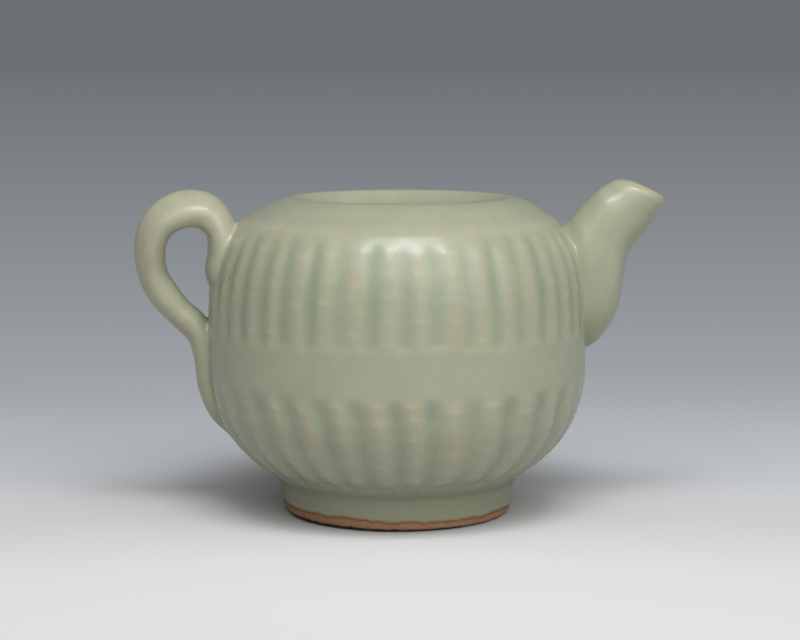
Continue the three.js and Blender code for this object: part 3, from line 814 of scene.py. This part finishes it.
class Nodes:
    """A material's node tree, with one call for each node and its inputs."""

    def __init__(self, name):
        self.material = bpy.data.materials.new(name)
        self.material.use_nodes = True
        self.tree = self.material.node_tree
        self.shader = self.tree.nodes["Principled BSDF"]
        coordinates = self.tree.nodes.new("ShaderNodeTexCoord")
        self.place = coordinates.outputs["Object"]

    def connect(self, value, socket):
        if isinstance(value, bpy.types.NodeSocket):
            self.tree.links.new(value, socket)
        else:
            socket.default_value = value

    def node(self, kind, inputs, **settings):
        made = self.tree.nodes.new(kind)
        for name, value in settings.items():
            setattr(made, name, value)
        for name, value in inputs.items():
            self.connect(value, made.inputs[name])
        return made

    def mark(self, name):
        return self.node("ShaderNodeAttribute", {}, attribute_name=name).outputs["Fac"]

    def math(self, operation, a, b=0.0, c=0.0):
        return self.node("ShaderNodeMath", {0: a, 1: b, 2: c}, operation=operation).outputs[0]

    def distance(self, place, spot):
        made = self.node("ShaderNodeVectorMath", {0: place, 1: spot}, operation="DISTANCE")
        return made.outputs["Value"]

    def moved(self, place, scale):
        return self.node("ShaderNodeMapping", {"Vector": place, "Scale": scale}).outputs["Vector"]

    def spread(self, value, low, high, to_low=0.0, to_high=1.0):
        """The value's place between low and high, eased and kept within to_low and to_high."""
        inputs = {"Value": value, "From Min": low, "From Max": high, "To Min": to_low}
        inputs["To Max"] = to_high
        made = self.node("ShaderNodeMapRange", inputs, interpolation_type="SMOOTHSTEP")
        return made.outputs["Result"]

    def noise(self, size, detail=2.0, stretch=(1, 1, 1)):
        """Noise about 0.5, with features of the given size in metres, longer along an axis whose
        stretch is below 1."""
        inputs = {"Vector": self.moved(self.place, stretch), "Scale": 1 / size, "Detail": detail}
        return self.node("ShaderNodeTexNoise", inputs).outputs["Fac"]

    def ramp(self, value, stops):
        made = self.node("ShaderNodeValToRGB", {"Fac": value})
        elements = made.color_ramp.elements
        while len(elements) < len(stops):
            elements.new(0.5)
        for element, (at, tone) in zip(elements, stops):
            element.position = at
            element.color = tone
        return made.outputs["Color"]

    def mix(self, share, a, b):
        made = self.node("ShaderNodeMix", {}, data_type="RGBA")
        self.connect(share, made.inputs["Factor"])
        self.connect(a, made.inputs["A"])
        self.connect(b, made.inputs["B"])
        return made.outputs["Result"]

    def bumped(self, height, depth, normal=None):
        inputs = {"Height": height, "Distance": depth, "Strength": 1.0}
        if normal is not None:
            inputs["Normal"] = normal
        return self.node("ShaderNodeBump", inputs).outputs["Normal"]


# The glaze's colour by its thickness
GLAZE_TONES = (
    (0.0, colour(188, 186, 160)),
    (0.33, colour(173, 173, 148)),
    (0.5, colour(167, 171, 144)),
    (0.7, colour(158, 165, 139)),
    (1.0, colour(140, 152, 130)),
)
# How the thickness varies on its own: a noise's size, detail and stretch, and its share
MOTTLES = (
    (9 * MM, 3.0, (1, 1, 1), 0.4),
    (2.2 * MM, 3.0, (1, 1, 0.35), 0.26),
    (0.9 * MM, 2.0, (1, 1, 1), 0.16),
)
MOTTLE_MEAN = 0.41  # half of all the shares
# Painted shade: the darker tone that the glaze is given towards the foot, and its largest share
FOOT_SHADE_TONE = colour(141, 141, 115)
FOOT_SHADE_SHARE = 0.7
IRON_STAIN = colour(180, 158, 108)
BARE_CLAY = colour(166, 126, 94)
BURNT_CLAY = colour(146, 90, 53)
PALE_CLAY = colour(176, 142, 116)
# Painted contact shadow: a near-black band where the foot stands on the table
CONTACT_SHADOW = colour(48, 34, 24)
PIT = colour(70, 64, 50)
STAIN_SHARE = 0.5
PIT_SHARE = 0.7
SEAT_PALENESS = 0.5  # how much of the glaze's tone the clay in the mouth has
# The painted contact shadow's height above the table, its tilt and how ragged its top is
CONTACT_SHADOW_HEIGHT = 0.75 * MM
CONTACT_SHADOW_TILT = -0.018  # the painted contact shadow stands higher on the handle's side
CONTACT_SHADOW_RAGGEDNESS = 1.6 * MM
GLAZE_ROUGHNESS = (0.24, 0.268)
CLAY_ROUGHNESS_ADDED = 0.5
GLAZE_IOR = 1.5
ORANGE_PEEL = 0.01 * MM
PIT_DEPTH = -0.12 * MM
CLAY_GRAIN_DEPTH = 0.15 * MM

# Pinholes in the glaze: degrees round from the front towards the spout, height and size
PINHOLES = (
    (-5, 56 * MM, 0.45 * MM),
    (-61, 64.5 * MM, 0.6 * MM),
    (-40, 18 * MM, 0.6 * MM),
    (62, 56 * MM, 0.4 * MM),
    (-12, 60 * MM, 0.3 * MM),
)


def pinholes(n):
    """1 in a pinhole and 0 off it: the middles of a few of the cells that Voronoi noise makes, and
    the spots in the list."""
    cells = n.node("ShaderNodeTexVoronoi", {"Vector": n.place, "Scale": 1 / (6 * MM)})
    chosen = n.node("ShaderNodeSeparateColor", {"Color": cells.outputs["Color"]}).outputs["Red"]
    middle = n.spread(cells.outputs["Distance"], 0.035, 0.015)
    pit = n.math("MULTIPLY", middle, n.spread(chosen, 0.9, 0.91))
    for turn, height, size in PINHOLES:
        angle = math.radians(turn - 90)
        radius = float(wall_outline(height))
        spot = (radius * math.cos(angle), radius * math.sin(angle), height)
        off = n.math("MULTIPLY_ADD", n.noise(0.5 * MM, 1.0), 0.4 * size, n.distance(n.place, spot))
        pit = n.math("MAXIMUM", pit, n.spread(off, 1.5 * size, 0.6 * size))
    return pit


def glaze_colour(n, height, pit):
    """Beige where the glaze is thin and blue-green where it pools, with iron stains where it is thin,
    darker in pinholes, and darkened towards the foot by painted shade."""
    thickness = n.mark("glaze")
    for size, detail, stretch, share in MOTTLES:
        thickness = n.math("MULTIPLY_ADD", n.noise(size, detail, stretch), share, thickness)
    thickness = n.math("ADD", thickness, -MOTTLE_MEAN)
    stain = n.spread(n.noise(4.5 * MM, 4.0, (1, 1, 0.45)), 0.48, 0.78)
    stain = n.math("MULTIPLY", stain, n.spread(thickness, 0.5, 0.2))
    tone = n.mix(n.math("MULTIPLY", stain, STAIN_SHARE), n.ramp(thickness, GLAZE_TONES), IRON_STAIN)
    # painted shade darkens the glaze towards the foot
    tone = n.mix(n.spread(height, 12.5 * MM, 8 * MM, 0, FOOT_SHADE_SHARE), tone, FOOT_SHADE_TONE)
    return n.mix(n.math("MULTIPLY", pit, PIT_SHARE), tone, PIT)


def clay_colour(n, out, height, grain, edge):
    """Clouded buff clay with burnt grains, burnt where it is far from the glaze, and darkened at the
    table by a painted contact shadow."""
    tone = n.ramp(n.noise(5 * MM, 3.0), [(0.3, BARE_CLAY), (0.5, BARE_CLAY), (0.7, PALE_CLAY)])
    tone = n.mix(n.spread(grain, 0.52, 0.72, 0, 0.5), tone, BURNT_CLAY)
    tone = n.mix(n.spread(edge, -1.1, -0.5, 0, 0.8), tone, BURNT_CLAY)
    ragged = n.math("SUBTRACT", n.noise(2.5 * MM, 4.0), 0.5)
    # A band of painted contact shadow along the table, with a ragged top
    contact_shadow_line = n.math("MULTIPLY_ADD", out, CONTACT_SHADOW_TILT, CONTACT_SHADOW_HEIGHT)
    contact_shadow_line = n.math("MULTIPLY_ADD", ragged, CONTACT_SHADOW_RAGGEDNESS, contact_shadow_line)
    above_contact_shadow = n.math("SUBTRACT", height, contact_shadow_line)
    return n.mix(n.spread(above_contact_shadow, 0.35 * MM, -0.15 * MM), tone, CONTACT_SHADOW)


def celadon():
    """Mottled glaze with pinholes, and the bare clay below the ragged line where it stops."""
    n = Nodes("celadon_glaze")
    out, _, height = n.node("ShaderNodeSeparateXYZ", {"Vector": n.place}).outputs
    pit = pinholes(n)
    glaze = glaze_colour(n, height, pit)
    ragged = n.math("SUBTRACT", n.noise(1.3 * MM, 3.0), 0.5)
    edge = n.math("MULTIPLY_ADD", ragged, 0.5, n.mark("bare_edge"))
    clay_grain = n.noise(0.7 * MM, 4.0)
    clay = clay_colour(n, out, height, clay_grain, edge)
    clay = n.mix(n.spread(height, 40 * MM, 60 * MM, 0, SEAT_PALENESS), clay, glaze)
    glazed = n.spread(edge, -0.25, 0.15)
    n.connect(n.mix(glazed, clay, glaze), n.shader.inputs["Base Color"])

    matt = n.math("SUBTRACT", 1.0, glazed)
    sheen = n.spread(n.noise(3 * MM, 2.0), 0.3, 0.7, *GLAZE_ROUGHNESS)
    roughness = n.math("MULTIPLY_ADD", matt, CLAY_ROUGHNESS_ADDED, sheen)
    n.connect(roughness, n.shader.inputs["Roughness"])
    n.shader.inputs["IOR"].default_value = GLAZE_IOR
    skin = n.bumped(n.noise(0.8 * MM, 2.0), ORANGE_PEEL)
    skin = n.bumped(pit, PIT_DEPTH, skin)
    skin = n.bumped(n.math("MULTIPLY", clay_grain, matt), CLAY_GRAIN_DEPTH, skin)
    n.connect(skin, n.shader.inputs["Normal"])
    return n.material


# The room

ROOM_GREY = colour(108, 112, 117)
FLOOR_REACH = 20.0
POOL_MIDDLE = (0, -100 * MM, 0)  # the painted pool of light on the paper fades away from here
POOL_STRETCH = (0.32, 1, 1)  # and fades slower to the left and right

# The painted pool of light: how pale the paper is, by the distance from the pool's middle
PAINTED_POOL_TONES = (
    (0.0, colour(234, 234, 234)),
    (0.04, colour(229, 229, 229)),
    (0.09, colour(215, 215, 216)),
    (0.125, colour(215, 216, 218)),
    (0.16, colour(207, 210, 213)),
    (0.225, colour(199, 202, 206)),
    (0.35, colour(182, 186, 192)),
    (0.7, colour(130, 134, 140)),
    (5.0, colour(90, 94, 100)),
)

# The backdrop that the paper turns into fades from its near tone to its far one
NEAR_BACKDROP = colour(175, 180, 185)
FAR_BACKDROP = colour(103, 107, 112)
BACKDROP_START = 0.2
BACKDROP_WHOLE = 0.42
BACKDROP_FALL = 0.64
BOUNCE_SHARE = 0.68  # how much of its brightness the paper gives back to what stands on it
BLACK = (0, 0, 0, 1)
WHITE = (1, 1, 1, 1)
ROOM_FILL = 0.13

# Each lamp's place, size, power in watts and tint
LAMPS = {
    "overhead_softbox": ((0.05, -0.52, 1.05), (0.6, 0.3), 5.2, (0.98, 1, 1.03)),
    "high_front_softbox": ((0.04, -1.05, 1.35), (2.8, 1.7), 15.8, (1, 1, 1)),
    "front_right_softbox": ((0.8, -1.3, 1.0), (2.2, 1.9), 13, (1, 1, 1)),
}
LAMP_TARGET = (0, 0, 50 * MM)


def seen_directly(tree):
    """1 for the rays that show a surface to the camera or in a gloss, 0 for those that light it."""
    path = tree.nodes.new("ShaderNodeLightPath")
    either = tree.nodes.new("ShaderNodeMath")
    either.operation = "MAXIMUM"
    tree.links.new(path.outputs["Is Camera Ray"], either.inputs[0])
    tree.links.new(path.outputs["Is Glossy Ray"], either.inputs[1])
    return either.outputs[0]


def by_distance(n, off, tones):
    """The tone for a distance: the ramp runs with its cube root, which gives the near tones room."""
    share = n.math("POWER", n.math("DIVIDE", off, FLOOR_REACH), 1 / 3)
    return n.ramp(share, [((at / FLOOR_REACH) ** (1 / 3), tone) for at, tone in tones])


def paper():
    """Matt pale paper with a painted pool of light near the pot, which turns with distance into a
    backdrop whose tones are its own: the share of the near one falls with a power of the distance."""
    n = Nodes("floor_paper")
    off = n.distance(n.moved(n.place, POOL_STRETCH), POOL_MIDDLE)
    seen = seen_directly(n.tree)
    tone = by_distance(n, off, PAINTED_POOL_TONES)
    dimmed = n.mix(1 - BOUNCE_SHARE, tone, BLACK)
    n.connect(n.mix(seen, dimmed, tone), n.shader.inputs["Base Color"])
    n.shader.inputs["Roughness"].default_value = 1.0
    n.shader.inputs["Specular IOR Level"].default_value = 0.0
    near = n.math("POWER", n.math("DIVIDE", BACKDROP_START, off), BACKDROP_FALL)
    faded = n.mix(near, FAR_BACKDROP, NEAR_BACKDROP)
    backdrop = n.node("ShaderNodeEmission", {"Color": faded})
    far = n.math("MULTIPLY", n.spread(off, BACKDROP_START, BACKDROP_WHOLE), seen)
    pick = n.node("ShaderNodeMixShader", {0: far, 1: n.shader.outputs[0], 2: backdrop.outputs[0]})
    n.connect(pick.outputs[0], n.tree.nodes["Material Output"].inputs["Surface"])
    n.material.cycles.emission_sampling = "NONE"  # the backdrop's own tones light nothing
    return n.material


def room():
    """A wide pale floor, three soft lamps and a dim room all round."""
    mesh = bpy.data.meshes.new("floor")
    corners = [(x * FLOOR_REACH, y * FLOOR_REACH, 0) for x, y in ((-1, -1), (1, -1), (1, 1), (-1, 1))]
    mesh.from_pydata(corners, [], [(0, 1, 2, 3)])
    floor = bpy.data.objects.new("floor", mesh)
    bpy.context.scene.collection.objects.link(floor)
    mesh.materials.append(paper())

    world = bpy.data.worlds.new("room")
    bpy.context.scene.world = world
    world.use_nodes = True
    tree = world.node_tree
    fill = tree.nodes["Background"]
    fill.inputs["Color"].default_value = WHITE
    fill.inputs["Strength"].default_value = ROOM_FILL
    seen = tree.nodes.new("ShaderNodeBackground")
    seen.inputs["Color"].default_value = ROOM_GREY
    pick = tree.nodes.new("ShaderNodeMixShader")
    tree.links.new(seen_directly(tree), pick.inputs["Fac"])
    tree.links.new(fill.outputs["Background"], pick.inputs[1])
    tree.links.new(seen.outputs["Background"], pick.inputs[2])
    tree.links.new(pick.outputs["Shader"], tree.nodes["World Output"].inputs["Surface"])

    for name, settings in LAMPS.items():
        lamp(name, *settings)


def lamp(name, place, size, power, tint):
    """A soft rectangular lamp that faces the pot."""
    data = bpy.data.lights.new(name, "AREA")
    data.shape = "RECTANGLE"
    data.size, data.size_y = size
    data.energy = power
    data.color = tint
    made = bpy.data.objects.new(name, data)
    made.location = place
    made.rotation_euler = (Vector(LAMP_TARGET) - Vector(place)).to_track_quat("-Z", "Y").to_euler()
    bpy.context.scene.collection.objects.link(made)


CAMERA_LENS = 95.85
CAMERA_PLACE = (0.8 * MM, -560 * MM, 121.5 * MM)
CAMERA_TILT = 7.2  # degrees down from level


def camera():
    """The view of the photo: from the front, a little above the rim."""
    data = bpy.data.cameras.new("camera")
    data.lens = CAMERA_LENS
    made = bpy.data.objects.new("camera", data)
    made.location = CAMERA_PLACE
    made.rotation_euler = (math.radians(90 - CAMERA_TILT), 0, 0)
    bpy.context.scene.collection.objects.link(made)
    bpy.context.scene.camera = made


camera()
room()
bpy.context.scene.view_settings.view_transform = "Standard"

glaze = celadon()
pieces = {
    glazed_body: ("lower_bowl", "upper_wall", "shoulder"),
    foot: ("foot_ring",),
    lid_seat: ("lid_seat_ring",),
    spout: ("spout_front_half", "spout_back_half"),
    handle: ("handle",),
}
for make, nodes in pieces.items():
    piece = make()
    piece.data.materials.append(glaze)
    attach(piece, "root")
    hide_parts(*nodes)
